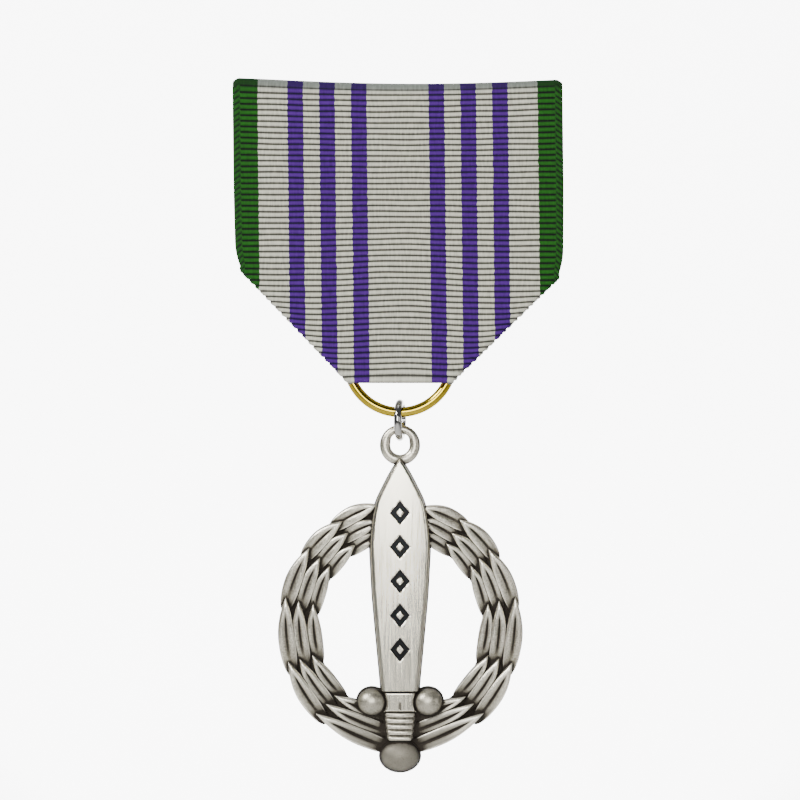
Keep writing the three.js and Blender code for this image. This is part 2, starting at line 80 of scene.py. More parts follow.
BROOCH_LOW, BROOCH_HIGH = box_mm("brooch_frame")
RIBBON_LOW, RIBBON_HIGH = box_mm("ribbon")
RING_LOW, RING_HIGH = box_mm("suspension_ring")
LINK_LOW, LINK_HIGH = box_mm("jump_ring")
EYE_LOW, EYE_HIGH = box_mm("pendant_loop")
TAB_LOW, TAB_HIGH = box_mm("ring_tab")
BLADE_LOW, BLADE_HIGH = box_mm("sword_blade")

# Ribbon
CLOTH = 0.4
RIB_PITCH = 0.605
HALF_WIDTH = RIBBON_HIGH[0]
TAIL_HALF_WIDTH = 15.8
BAR_HALF_HEIGHT = 0.5
BAR_Y = BROOCH_LOW[1] / 2
BAR_Z = BROOCH_HIGH[2] - BAR_HALF_HEIGHT
RIBBON_FOOT = RIBBON_LOW[2]
RIBBON_TOP = RIBBON_HIGH[2]
PANEL_Y = RIBBON_LOW[1] + CLOTH / 2
FOLD_Y = PANEL_Y + CLOTH + 0.02
CREASE_DROPS = {-1: 20.1, 1: 20.9}
BOTTOM_HALF_WIDTH = 5.6
HEM_HEIGHT = 2.0
FLAP_INNER_X = 6.5

# Rings
RING_WIRE = RING_HIGH[1] - RING_LOW[1]
RING_MID = (RING_HIGH[2] - RING_LOW[2] - RING_WIRE) / 2
RING_CENTRE = (RING_LOW + RING_HIGH) / 2
LINK_WIRE = 0.8
LINK_MID = (LINK_HIGH[2] - LINK_LOW[2] - LINK_WIRE) / 2
LINK_CENTRE = (LINK_LOW + LINK_HIGH) / 2
LINK_YAW = math.radians(8)
EYE_WIRE = EYE_HIGH[1] - EYE_LOW[1]
EYE_MID = (EYE_HIGH[0] - EYE_LOW[0] - EYE_WIRE) / 2
EYE_Z = EYE_HIGH[2] - EYE_MID - EYE_WIRE / 2

# Pendant: drops are measured down from the centre of its loop
BED_BACK = box_mm("wreath")[1][1]
SWORD_BACK = BLADE_HIGH[1]
BED_FRONT = SWORD_BACK + 0.05
WREATH_Z = EYE_Z - 19.47
WREATH_STRETCH = 1.06
BED_MARGIN = 0.14
BLADE_TIP = EYE_Z - BLADE_HIGH[2]
BLADE_FOOT = EYE_Z - BLADE_LOW[2]
GUARD_TOP = 26.2
GUARD_FOOT = 28.36
GRIP_FOOT = 31.5
BALL_X = 2.99
BALL_DROP = 27.32

# The studio's wall, behind the medal
WALL = 450


# ---- Nodes ----

def fill(tree, node, inputs):
    """Links a socket or sets a value on each input named."""
    for socket, value in inputs.items():
        target = node.inputs[socket]
        if isinstance(value, bpy.types.NodeSocket):
            tree.links.new(value, target)
        else:
            target.default_value = value


def add(tree, kind, inputs=None, **settings):
    """Adds a node, sets what is named and links or fills its inputs."""
    node = tree.nodes.new(kind)
    for name, value in settings.items():
        setattr(node, name, value)
    fill(tree, node, inputs or {})
    return node


def linear(code):
    """An sRGB hex colour as linear RGBA."""
    channels = [int(code[i:i + 2], 16) / 255 for i in (1, 3, 5)]
    curve = [c / 12.92 if c <= 0.04045 else ((c + 0.055) / 1.055) ** 2.4 for c in channels]
    return (*curve, 1.0)


# A Mix node's colour sockets
MIX_A, MIX_B, MIX_RESULT = 6, 7, 2


def mix(tree, factor, low, high, blend="MIX"):
    """Two colours, as sockets or hex codes, mixed by a factor."""
    low, high = [linear(c) if isinstance(c, str) else c for c in (low, high)]
    inputs = {0: factor, MIX_A: low, MIX_B: high}
    return add(tree, "ShaderNodeMix", inputs, data_type="RGBA", blend_type=blend).outputs[MIX_RESULT]


def math_node(tree, operation, *values):
    """The result of one sum on sockets or numbers."""
    return add(tree, "ShaderNodeMath", dict(enumerate(values)), operation=operation).outputs[0]


def span(tree, value, low, high, to_low=0.0, to_high=1.0):
    """A value brought from one range to another and kept inside it."""
    inputs = {0: value, 1: low, 2: high, 3: to_low, 4: to_high}
    return add(tree, "ShaderNodeMapRange", inputs).outputs[0]


def stored_mark(tree, name):
    """A number kept on the points of the mesh."""
    return add(tree, "ShaderNodeAttribute", attribute_name=name).outputs["Fac"]


def noise(tree, place, detail):
    inputs = {"Vector": place, "Scale": 1.0, "Detail": detail}
    return add(tree, "ShaderNodeTexNoise", inputs).outputs["Fac"]


def grain(tree, cell_mm, detail=3.0, stretch=(1, 1, 1)):
    """Noise in object space with cells of the given size, stretched along the axes named."""
    place = add(tree, "ShaderNodeTexCoord").outputs["Object"]
    scale = tuple(1 / (cell_mm * MM * s) for s in stretch)
    scaled = add(tree, "ShaderNodeVectorMath", {0: place, 1: scale}, operation="MULTIPLY")
    return noise(tree, scaled.outputs[0], detail)


def cloth_noise(tree, across, along, per_mm, detail):
    """Noise laid with the cloth, with so many cells to the millimetre across and along it."""
    place = add(tree, "ShaderNodeCombineXYZ", {
        0: math_node(tree, "MULTIPLY", across, per_mm[0]),
        1: math_node(tree, "MULTIPLY", along, per_mm[1]),
    })
    return noise(tree, place.outputs[0], detail)


def raised(tree, height, strength, depth_mm):
    """A bump of the given depth, for a shader's Normal."""
    inputs = {"Height": height, "Strength": strength, "Distance": depth_mm * MM}
    return add(tree, "ShaderNodeBump", inputs).outputs[0]


def finish(recipe):
    """A material made by a recipe and named after it."""
    material = bpy.data.materials.new(recipe.__name__)
    material.use_nodes = True
    tree = material.node_tree
    fill(tree, tree.nodes["Principled BSDF"], recipe(tree))
    return material


# ---- Materials ----

# Each recipe gives the inputs of its shader.

EDGE_TINT = linear("#6A665C")


def antiqued_silver_casting(tree):
    """Silver-plated casting, blackened and then polished back.

    The high places are bright and softly grained, and the oxide left in the recesses draws a dark line
    round every leaf. The darkening stored on the points is partly that oxide and partly painted shade,
    and the polish mark also darkens each leaf's base as painted shade.
    """
    sand = grain(tree, 0.16, 4)
    uneven = math_node(tree, "MULTIPLY_ADD", sand, 0.44, -0.22)
    drift = math_node(tree, "MULTIPLY_ADD", grain(tree, 1.6, 2), 0.16, -0.08)
    # Darkening stored on the points: oxide in the hollows, and painted shade on the sides, the low
    # ground, the leaf bases and the foot of the wreath.
    patina = stored_mark(tree, "patina")
    soiled_and_shaded = math_node(tree, "ADD", patina, math_node(tree, "ADD", uneven, drift))
    dark = span(tree, soiled_and_shaded, 0.1, 0.68)
    # The stored polish mark lightens polished rims and tips and darkens leaf bases, there partly as
    # painted shade.
    bright = math_node(tree, "MULTIPLY_ADD", stored_mark(tree, "rubbed"), 0.7, sand)
    plate = mix(tree, span(tree, bright, 0.15, 0.95), "#7E7969", "#FBF5E2")
    return {
        "Base Color": mix(tree, dark, plate, "#2B2722"),
        "Metallic": span(tree, dark, 0, 1, 1.0, 0.3),
        "Roughness": span(tree, dark, 0, 1, 0.32, 0.62),
        "Specular Tint": EDGE_TINT,
        "Normal": raised(tree, sand, 0.75, 0.03),
    }


def satin_silver_plate(tree):
    """Silver plate brushed along the blade, which smears each highlight into an upright sheen."""
    # Real brush lines are about 0.03 mm apart. They are drawn coarser so that they show.
    lines = grain(tree, 0.14, 3, (1, 1, 22))
    # Darkening stored on the points: oxide, and painted shade on the sides and the low ground.
    patina = math_node(tree, "ADD", stored_mark(tree, "patina"), -0.1)
    soiled_and_shaded = math_node(tree, "MULTIPLY_ADD", grain(tree, 0.2, 3), 0.2, patina)
    dark = span(tree, soiled_and_shaded, 0.14, 0.6)
    return {
        "Base Color": mix(tree, dark, mix(tree, lines, "#D2CCB8", "#F8F2DE"), "#37322B"),
        "Metallic": span(tree, dark, 0, 1, 1.0, 0.3),
        "Roughness": span(tree, lines, 0.3, 0.7, 0.17, 0.25),
        "Specular Tint": EDGE_TINT,
        "Normal": raised(tree, lines, 0.6, 0.02),
    }


def drawn_wire(tree, cell_mm, dull, bright, roughness):
    """Polished wire, whose tone and polish drift a little along it."""
    tone = grain(tree, cell_mm, 2)
    return {
        "Base Color": mix(tree, tone, dull, bright),
        "Metallic": 1.0,
        "Roughness": span(tree, tone, 0.3, 0.7, *roughness),
    }


def polished_gilt_brass(tree):
    """Gilt brass wire, drawn and polished, with sharp bright and dark bands along it."""
    return drawn_wire(tree, 1.8, "#88740E", "#BCA43C", (0.08, 0.14))


def bright_nickel_wire(tree):
    """Nickel-plated wire, bright and cool, almost a mirror."""
    return drawn_wire(tree, 1.2, "#9C9A94", "#C2C0BA", (0.07, 0.13))


def stamped_gilt_brass(tree):
    """Stamped and gilt brass, softly scuffed, so its flat faces look satin."""
    scuff = grain(tree, 0.3, 4, (14, 1, 1))
    return {
        "Base Color": mix(tree, scuff, "#8C6A18", "#B8923A"),
        "Metallic": 1.0,
        "Roughness": span(tree, scuff, 0.3, 0.7, 0.24, 0.38),
        "Normal": raised(tree, scuff, 0.25, 0.02),
    }


def black_enamel(tree):
    """Soft enamel filled into the recesses and left glossy, deep black with a faint ripple."""
    ripple = grain(tree, 0.5, 2)
    return {
        "Base Color": mix(tree, ripple, "#040506", "#0C0D10"),
        "Roughness": 0.3,
        "Specular IOR Level": 0.1,
        "Normal": raised(tree, ripple, 0.2, 0.02),
    }


# Dyes: colour on the ribs, and the same dye darkened as painted shade for the grooves
GREY = ("#BDBCAB", "#3A3A33")
PURPLE = ("#431670", "#0A0026")
GREEN = ("#114E08", "#010D01")
# Stripes from the middle of the ribbon to its edge: outer limit in mm, dye
STRIPES = [(3.30, GREY), (4.94, PURPLE), (6.64, GREY), (8.28, PURPLE),
           (9.98, GREY), (11.62, PURPLE), (14.85, GREY), (17.60, GREEN)]


def stripe_ramp(tree, place, tone):
    """The ribbon's stripes as a stepped ramp over the distance from its middle."""
    node = add(tree, "ShaderNodeValToRGB", {"Fac": place})
    ramp = node.color_ramp
    ramp.interpolation = "CONSTANT"
    edge = 0.0
    for i, (limit, dye) in enumerate(STRIPES):
        element = ramp.elements[i] if i < 2 else ramp.elements.new(edge)
        element.position = edge
        element.color = linear(dye[tone])
        edge = limit / STRIPES[-1][0]
    return node.outputs["Color"]


def grosgrain_ribbon(tree):
    """Ribbed rayon ribbon: pale or dyed warp lies over each rib and sinks into the grooves, which are
    painted dark as shade.
    """
    across, along, rib = [stored_mark(tree, name) for name in ("across", "along", "rib")]
    # Each rib pushes the stripe's edge a little to one side.
    push = cloth_noise(tree, across, along, (0.35, 1.7), 1.0)
    shift = math_node(tree, "MULTIPLY_ADD", push, 0.24, -0.12)
    distance = math_node(tree, "ABSOLUTE", math_node(tree, "ADD", across, shift))
    bulge = math_node(tree, "MULTIPLY_ADD", rib, 0.04, -0.02)
    place = math_node(tree, "DIVIDE", math_node(tree, "ADD", distance, bulge), STRIPES[-1][0])
    # Warp threads are 0.1 mm apart. They are drawn at 0.22 mm so that they show.
    warp = cloth_noise(tree, across, along, (1 / 0.22, 1 / 1.3), 2.0)
    # Painted shade: each dye is drawn lighter high on the ribs and darker low in the grooves.
    height = math_node(tree, "MULTIPLY_ADD", warp, 0.3, math_node(tree, "ADD", rib, -0.15))
    lit = span(tree, height, 0.2, 0.96)
    colour = mix(tree, lit, stripe_ramp(tree, place, 1), stripe_ramp(tree, place, 0))
    thread = span(tree, warp, 0.25, 0.75, 0.86, 1.12)
    grey = add(tree, "ShaderNodeCombineColor", {0: thread, 1: thread, 2: thread})
    colour = mix(tree, 1.0, colour, grey.outputs[0], "MULTIPLY")
    # Painted shade: the cloth that turns over the bar is darkened and cooled in colour.
    turned = math_node(tree, "MULTIPLY", stored_mark(tree, "turned"), 0.85)
    return {
        "Base Color": mix(tree, turned, colour, "#8C98A0", "MULTIPLY"),
        "Roughness": 0.78,
        "Specular IOR Level": 0.2,
        "Sheen Weight": 0.04,
        "Sheen Roughness": 0.4,
        "Normal": raised(tree, warp, 0.35, 0.03),
    }


def cotton_tape(tree):
    """Undyed cotton tape, plainly woven, matt and a little uneven."""
    # Threads are 0.25 mm apart both ways.
    over, under = [
        math_node(tree, "SINE", math_node(tree, "MULTIPLY", stored_mark(tree, name), 2 * math.pi / 0.5))
        for name in ("across", "along")
    ]
    weave = span(tree, math_node(tree, "MULTIPLY", over, under), -1, 1)
    # Painted shade: the weave is drawn darker where the tape rounds off at its two edges.
    edges = span(tree, stored_mark(tree, "rib"), 0, 1, 0.6, 1.0)
    colour = mix(tree, math_node(tree, "MULTIPLY", weave, edges), "#8F8E87", "#D4D2C8")
    return {
        "Base Color": mix(tree, grain(tree, 0.3, 4), colour, "#C2C0B6"),
        "Roughness": 0.92,
        "Normal": raised(tree, weave, 0.5, 0.04),
    }


def sewing_thread(tree):
    """Twisted polyester thread, pale, with a fine diagonal twist."""
    twist = grain(tree, 0.1, 2, (1, 1, 2))
    return {
        "Base Color": mix(tree, twist, "#9D9C95", "#DDDBD2"),
        "Roughness": 0.7,
        "Normal": raised(tree, twist, 0.6, 0.02),
    }


def studio_paper(tree):
    """Matt white paper with a painted pool of light behind the medal: the paper glows there, and the
    glow fades before the floor.
    """
    place = add(tree, "ShaderNodeTexCoord").outputs["Object"]
    away = add(tree, "ShaderNodeVectorMath", {0: place, 1: (0, WALL * MM, 0)}, operation="DISTANCE")
    # Painted light: the paper's glow is strongest behind the medal and fades with distance.
    fade = math_node(tree, "POWER", span(tree, away.outputs["Value"], 0.18, 0.5, 1.0, 0.0), 3.0)
    return {
        "Base Color": linear("#F4F4F5"),
        "Roughness": 0.9,
        "Emission Color": linear("#FFFFFF"),
        "Emission Strength": math_node(tree, "MULTIPLY", fade, 7.5),
    }


SILVER = finish(antiqued_silver_casting)
SATIN = finish(satin_silver_plate)
GILT = finish(polished_gilt_brass)
STAMPED = finish(stamped_gilt_brass)
NICKEL = finish(bright_nickel_wire)
ENAMEL = finish(black_enamel)
RIBBON = finish(grosgrain_ribbon)
TAPE = finish(cotton_tape)
THREAD = finish(sewing_thread)


# ---- Meshes ----

def placed(name, data):
    """A new object in the scene."""
    obj = bpy.data.objects.new(name, data)
    bpy.context.collection.objects.link(obj)
    return obj


def store(mesh, name, values):
    """Keeps one number for every point of a mesh."""
    layer = mesh.attributes.new(name, "FLOAT", "POINT")
    layer.data.foreach_set("value", np.asarray(values, np.float32))


def coat(mesh, material, smooth_degrees):
    """Gives a mesh its material and shades it smooth, but for edges sharper than an angle."""
    mesh.materials.clear()
    mesh.materials.append(material)
    mesh.shade_smooth()
    mesh.set_sharp_from_angle(angle=math.radians(smooth_degrees))


def piece(name, points, faces, material, smooth_degrees=50, marks=None):
    """A mesh object from points in millimetres, with float values per point under their names."""
    mesh = bpy.data.meshes.new(name)
    mesh.from_pydata((np.asarray(points, float) * MM).tolist(), [], faces)
    for mark, values in (marks or {}).items():
        store(mesh, mark, values)
    coat(mesh, material, smooth_degrees)
    return placed(name, mesh)


def fasten(obj, body, slot, *nodes):
    """The piece rides on a body and stands for CAD nodes. The finish slot is not used."""
    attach(obj, body)
    if nodes:
        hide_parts(*nodes)
    return obj


def settled(obj, name=None):
    """A plain mesh object with the modifiers of obj worked in. The original is removed."""
    depsgraph = bpy.context.evaluated_depsgraph_get()
    mesh = bpy.data.meshes.new_from_object(obj.evaluated_get(depsgraph), depsgraph=depsgraph)
    mesh.transform(obj.matrix_world)
    final_name = name or obj.name
    bpy.data.objects.remove(obj, do_unlink=True)
    mesh.name = final_name
    return placed(final_name, mesh)


def mend(mesh, gap_mm, flatten=False):
    """Joins points that touch and, to flatten, drops the edges that lie inside flat faces."""
    work = bmesh.new()
    work.from_mesh(mesh)
    bmesh.ops.remove_doubles(work, verts=work.verts, dist=gap_mm * MM)
    if flatten:
        bmesh.ops.dissolve_limit(work, angle_limit=math.radians(1), verts=work.verts, edges=work.edges)
    work.to_mesh(mesh)
    work.free()


def grid_faces(rows, columns, wrap=False):
    """Quads over a grid of points, seen from the side where rows go down and columns go right."""
    r, c = np.meshgrid(np.arange(rows - 1), np.arange(columns - (not wrap)), indexing="ij")
    right = (c + 1) % columns
    quads = np.stack([r * columns + c, (r + 1) * columns + c, (r + 1) * columns + right,
                      r * columns + right], -1)
    return quads.reshape(-1, 4)


def thick_sheet(name, middle, normals, half, keep, material, marks):
    """A closed sheet of cloth over the cells to keep, half as thick to either side of a grid."""
    rows, columns = half.shape
    front = grid_faces(rows, columns)[keep.reshape(-1)]
    count = rows * columns
    back = front[:, ::-1] + count
    rims = []
    padded = np.pad(keep, 1)
    # Each side of a cell: the neighbour beyond it, then the corners of the shared edge
    sides = [((0, -1), 0, 1), ((1, 0), 1, 2), ((0, 1), 2, 3), ((-1, 0), 3, 0)]
    for (down, across), start, end in sides:
        beyond = padded[1 + down:rows + down, 1 + across:columns + across]
        open_edge = (keep & ~beyond)[keep]
        a, b = front[open_edge, start], front[open_edge, end]
        rims.append(np.stack([b, a, a + count, b + count], -1))
    used, packed = np.unique(np.concatenate([front, back, *rims]), return_inverse=True)
    offset = normals * half[..., None]
    points = np.stack([middle + offset, middle - offset]).reshape(-1, 3)[used]
    values = {k: np.tile(v.reshape(-1), 2)[used] for k, v in marks.items()}
    return piece(name, points, packed.reshape(-1, 4).tolist(), material, 180, values)


def smoothstep(value, low, high):
    t = np.clip((value - low) / (high - low), 0, 1)
    return t * t * (3 - 2 * t)


def arch(value, half):
    """A cosine arch: 1 in the middle and 0 at half to either side."""
    return np.cos(np.clip(value / half, -1, 1) * math.pi / 2)


def torus(name, centre, middle, wire, material, yaw=0.0, gap=0.0, swell=0.0, around=120, section=28):
    """A wire ring whose hole runs along Y, turned about Z, with an optional saw cut.

    swell thickens the wire into the hole everywhere but at the top.
    """
    half_gap = gap / middle / 2
    turns = np.linspace(half_gap, 2 * math.pi - half_gap, around + 1)
    if not gap:
        turns = turns[:-1]
    angle = turns[:, None]
    swing = np.linspace(0, 2 * math.pi, section, endpoint=False)
    extra = swell / 2 * smoothstep(1 - np.sin(angle), 0.15, 0.8)
    reach = middle - extra + (wire / 2 + extra) * np.cos(swing)
    flat = np.stack([reach * np.cos(angle), wire / 2 * np.sin(swing) + 0 * angle,
                     reach * np.sin(angle)], -1)
    turn = np.array(Matrix.Rotation(yaw, 3, "Z"))
    points = (flat @ turn.T).reshape(-1, 3) + centre
    # An uncut ring's last row is its first one again.
    faces = grid_faces(len(turns) + (not gap), section, wrap=True)[:, ::-1] % len(points)
    faces = faces.tolist()
    if gap:
        faces.append(list(range(section - 1, -1, -1)))
        faces.append(list(range(len(points) - section, len(points))))
    return piece(name, points, faces, material, 60)


def outline_plate(name, outlines, front, back, bevel, material):
    """A flat plate with eased edges from closed outlines of [x, z] points."""
    curve = bpy.data.curves.new(name, "CURVE")
    curve.dimensions = "2D"
    curve.fill_mode = "BOTH"
    curve.extrude = (back - front) / 2 - bevel
    curve.bevel_depth = bevel
    curve.bevel_resolution = 2
    curve.offset = -bevel
    for outline in outlines:
        spline = curve.splines.new("POLY")
        spline.points.add(len(outline) - 1)
        for point, (x, z) in zip(spline.points, outline):
            point.co = (x, z, 0, 1)
        spline.use_cyclic_u = True
    plate = settled(placed(name, curve))
    stand = Matrix.Translation((0, (front + back) / 2, 0)) @ Matrix.Rotation(math.pi / 2, 4, "X")
    plate.data.transform(Matrix.Scale(MM, 4) @ stand)
    mend(plate.data, 0.001)
    coat(plate.data, material, 40)
    return plate


def joined(name, objects):
    """All the objects as one."""
    for obj in bpy.context.view_layer.objects:
        obj.select_set(obj in objects)
    bpy.context.view_layer.objects.active = objects[0]
    bpy.ops.object.join()
    objects[0].name = name
    objects[0].data.name = name
    return objects[0]


def eased(node, body, slot, material, width):
    """A CAD node with its sharp edges eased and its faces shaded smooth."""
    mesh = frame["nodes"][node].data.copy()
    mend(mesh, 0.002, flatten=True)
    obj = placed(node + "_eased", mesh)
    bevel = obj.modifiers.new("ease", "BEVEL")
    bevel.width = width * MM
    bevel.segments = 2
    bevel.limit_method = "ANGLE"
    bevel.angle_limit = math.radians(35)
    obj = settled(obj)
    coat(obj.data, material, 40)
    return fasten(obj, body, slot, node)


# ---- Ribbon ----

# Heights within one rib: share of the pitch, share of the full height
RIB_PROFILE = [(0.0, 0.0), (0.1, 0.2), (0.22, 0.76), (0.5, 1.0), (0.78, 0.76), (0.9, 0.2)]
RIB_HEIGHT = 0.13
LOOP_Y_RADIUS = 1.05
LOOP_Z_RADIUS = 1.58
LOOP_MIDDLE_Z_RADIUS = 0.94
LOOP_MM_PER_TURN = 2 * math.pi * 1.24
LOOP_END = 1.7 * math.pi
SELVEDGE = 16.65
TOP_SAG = 0.34
RIB_BOW = 0.3
CORNER_REACH = 2.6
CORNER_TUCK = 0.5
CREASE_LIFT = 0.28


def past_line(points, on_line, outward):
    """How far each point lies beyond a line in the panel's plane."""
    return (points[..., 0] - on_line[0]) * outward[0] + (points[..., 2] - on_line[1]) * outward[1]


def fold_back(points, normals, on_line, outward):
    """Folds what lies beyond a line of the front panel round behind it."""
    radius = (FOLD_Y - PANEL_Y) / 2
    past = past_line(points, on_line, outward) + radius + CLOTH / 2
    folded = past > 0
    turning = np.clip(past / radius, 0, math.pi)
    beyond = np.maximum(past - math.pi * radius, 0)
    shift = np.where(folded, radius * np.sin(turning) - beyond - past, 0)
    for axis, part in ((0, outward[0]), (2, outward[1])):
        points[..., axis] += shift * part
        normals[..., axis] += np.where(folded, np.sin(turning) * part, 0)
    points[..., 1] += radius * (1 - np.cos(turning)) * folded
    normals[..., 1] = np.where(folded, -np.cos(turning), normals[..., 1])
    return past - math.pi * radius


def thinned(across, start, reach, least):
    """The cloth's thickness from side to side: full, then rounded off past start."""
    past = np.clip(np.abs(across) - start, 0, 1) / reach
    return np.sqrt(np.clip(1 - past ** 2, least, 1))


def rib_rows(first, last):
    """Places along the cloth and the rib height at each, for the ribs between two rib numbers."""
    places = [(n + share, height) for n in range(first, last) for share, height in RIB_PROFILE]
    return np.array(places).T


def ribbon_drape():
    """The ribbon, ribbed on both faces: loop round the bar, front panel, flaps and hem.

    Also gives its cut area and length.
    """
    foot = BAR_Z - RIBBON_FOOT
    first = -int(LOOP_END / (2 * math.pi) * LOOP_MM_PER_TURN / RIB_PITCH)
    last = int((foot + HEM_HEIGHT) / RIB_PITCH) + 1
    numbers, heights = rib_rows(first, last)
    edge = np.arange(HALF_WIDTH - 1.0, HALF_WIDTH + 0.01, 0.125)
    columns = np.concatenate([-edge[::-1], np.linspace(-edge[0], edge[0], 82)[1:-1], edge])
    across, number = np.meshgrid(columns, numbers)
    along = number * RIB_PITCH
    height = heights[:, None] + 0 * across
    # The edge threads turn back in slanted half-steps between the ribs.
    border = np.abs(across) - SELVEDGE
    slanted = np.abs(np.sin(math.pi * (number + 0.5 - 1.1 * border))) ** 0.8
    height = np.where(border > 0, 0.85 * slanted, height)
    # Ribs fade out where the cloth is pressed over the bar.
    top = smoothstep(-along, 0.35, 1.1) * (1 - smoothstep(-along, 3.0, 3.6))
    height = height * (1 - 0.75 * top)

    # Flat panel, with the ribs bowed up in the middle and lifted next to the creases
    level = along / foot
    bow = smoothstep(level, 0.3, 0.7) * (1 - smoothstep(level, 0.965, 1.0))
    bow = RIB_BOW * bow * arch(across, 9) ** 2
    sag = TOP_SAG * arch(across, 18)
    bow -= sag * (1 - smoothstep(level, 0.0, 0.4))
    lean = 0.34 * np.clip(level, 0, 1) - 0.26
    points = np.stack([across + lean, PANEL_Y + 0 * along, BAR_Z - along + bow], -1)
    waist = 0.14 * smoothstep(level, 0.3, 0.66)
    points[..., 0] -= np.sign(across) * waist * smoothstep(np.abs(across), 15, 17.5)
    wave = 0.025 * np.sin(across * 0.9 + 0.6) * np.sin(along * 0.9)
    points[..., 2] += wave * (along > 0) * (level < 0.97)
    normals = np.zeros_like(points)
    normals[..., 1] = -1

    # Folds at the two corners and at the foot
    past = {}
    for side, drop in CREASE_DROPS.items():
        corner = np.array([side * HALF_WIDTH, RIBBON_TOP - drop])
        away = np.hypot(points[..., 0] - corner[0], points[..., 2] - corner[1])
        points[..., 0] -= side * CORNER_TUCK * np.clip(1 - away / CORNER_REACH, 0, 1) ** 2
        end = np.array([side * BOTTOM_HALF_WIDTH, RIBBON_FOOT])
        run = (end - corner) / np.linalg.norm(end - corner)
        outward = np.array([-run[1], run[0]]) * side
        near = np.abs(past_line(points, corner, outward))
        lift = CREASE_LIFT * np.exp(-near / 1.1) * smoothstep(level, 0.6, 0.8)
        points[..., 2] += np.where(level < 0.96, lift, 0)
        past[side] = fold_back(points, normals, corner, outward)
    fold_back(points, normals, (0, RIBBON_FOOT), (0, -1))

    # Loop round the bar
    over = along < 0
    angle = -along / LOOP_MM_PER_TURN * 2 * math.pi
    dip = arch(across - 2, 19.5) ** 1.1
    rise = LOOP_Z_RADIUS - (LOOP_Z_RADIUS - LOOP_MIDDLE_Z_RADIUS) * dip
    rise -= 0.3 * smoothstep(np.abs(across), 16.7, 17.5) ** 2
    rise = np.where(angle > math.pi, 1.4, rise)
    ring = np.stack([across + lean, BAR_Y - LOOP_Y_RADIUS * np.cos(angle),
                     BAR_Z + rise * np.sin(angle) - sag * np.clip(np.cos(angle), 0, 1)], -1)
    tilt = np.stack([0 * across, -np.cos(angle) / LOOP_Y_RADIUS, np.sin(angle) / rise], -1)
    tilt /= np.linalg.norm(tilt, axis=-1, keepdims=True)
    points = np.where(over[..., None], ring, points)
    normals = np.where(over[..., None], tilt, normals)

    # Thickness: the cloth thins at its two selvedges
    half = (CLOTH / 2 - RIB_HEIGHT * (1 - height)) * thinned(across, 17.2, 0.31, 0.02)

    def centre(values):
        return (values[1:, 1:] + values[:-1, 1:] + values[1:, :-1] + values[:-1, :-1]) / 4

    x, u, v = np.abs(centre(points[..., 0])), np.abs(centre(across)), centre(along)
    flap = (centre(past[-1]) > 0) | (centre(past[1]) > 0)
    keep = ~(flap & (x < FLAP_INNER_X))
    keep &= ~((v > foot) & (u > BOTTOM_HALF_WIDTH - 0.1))
    keep &= v < foot + HEM_HEIGHT
    keep &= ~((centre(angle) > math.pi / 2 + 0.2) & (v < 0) & (u > TAIL_HALF_WIDTH))
    # Pressed ribs have no grooves, so they get no painted groove shade.
    shade = np.clip(height + (0.8 - 0.6 * height) * top, 0, 1)
    # The turned mark picks out the cloth that turns over the bar, which is painted in shade.
    marks = {"across": across, "along": along, "rib": shade,
             "turned": smoothstep(-along, 0.1, 0.9) * (1 - smoothstep(-along, 3.4, 4.4))}
    obj = thick_sheet("ribbon_drape", points, normals, half, keep, RIBBON, marks)
    cells = np.diff(across, axis=1)[:-1] * np.diff(along, axis=0)[:, :-1]
    return obj, float((cells * keep).sum()), float(v[keep].max() - v[keep].min())


def tape_tab():
    """The tape tab: round the ring's upper arc, both ends up and sewn to the panel's back."""
    thick = CLOTH - 0.05
    turn_radius = RING_WIRE / 2 + 0.06 + thick / 2
    front_y = TAB_LOW[1] + thick / 2 + 0.01
    join_y = front_y + thick + 0.02
    top = TAB_HIGH[2] - 0.1
    crown = RING_CENTRE[2] + RING_MID
    # One length of tape: down the front, round the wire, and up the back to the front again
    down = [(front_y, z) for z in np.linspace(top, crown + 0.9, 16)]
    swing = np.linspace(-0.15 * math.pi, 1.15 * math.pi, 26)
    around = [(RING_CENTRE[1] - turn_radius * math.cos(a), crown - turn_radius * math.sin(a))
              for a in swing]
    up = [(join_y, z) for z in np.linspace(crown + 1.5, top, 14)]
    path = np.array(down + around + up)
    tangent = np.gradient(path, axis=0)
    tangent /= np.linalg.norm(tangent, axis=1, keepdims=True)
    steps = np.linalg.norm(np.diff(path, axis=0), axis=1)
    columns = np.linspace(TAB_LOW[0], TAB_HIGH[0], 41)
    across, along = np.meshgrid(columns, np.concatenate([[0], np.cumsum(steps)]))
    flat = 0 * across
    y, z = path[:, :1] + flat, path[:, 1:] + flat
    # The tape follows the ring's curve from side to side, and its sewn ends are straight.
    sag = RING_MID - np.sqrt(RING_MID ** 2 - across ** 2)
    z = z - sag * (1 - smoothstep(z, crown + 0.5, crown + 2.2))
    points = np.stack([across, y, z], -1)
    normals = np.stack([flat, tangent[:, 1:] + flat, -tangent[:, :1] + flat], -1)
    rounded = thinned(across, 2.8, 0.21, 0.03)
    keep = np.ones((len(path) - 1, len(columns) - 1), bool)
    marks = {"across": across, "along": along, "rib": rounded}
    return thick_sheet("ring_tab_tape", points, normals, thick / 2 * rounded, keep, TAPE, marks)


# ---- Stitches ----

def new_group(name, inputs):
    """A Geometry Nodes group with these inputs after its Geometry, and the sockets they give."""
    tree = bpy.data.node_groups.new(name, "GeometryNodeTree")
    tree.interface.new_socket("Geometry", in_out="OUTPUT", socket_type="NodeSocketGeometry")
    for label, kind, value in [("Geometry", "Geometry", None), *inputs]:
        socket = tree.interface.new_socket(label, in_out="INPUT", socket_type="NodeSocket" + kind)
        if value is not None:
            socket.default_value = value
    return tree, add(tree, "NodeGroupInput").outputs


def turn_about(tree, axis, angle):
    return add(tree, "FunctionNodeAxisAngleToRotation", {0: axis, 1: angle}).outputs[0]


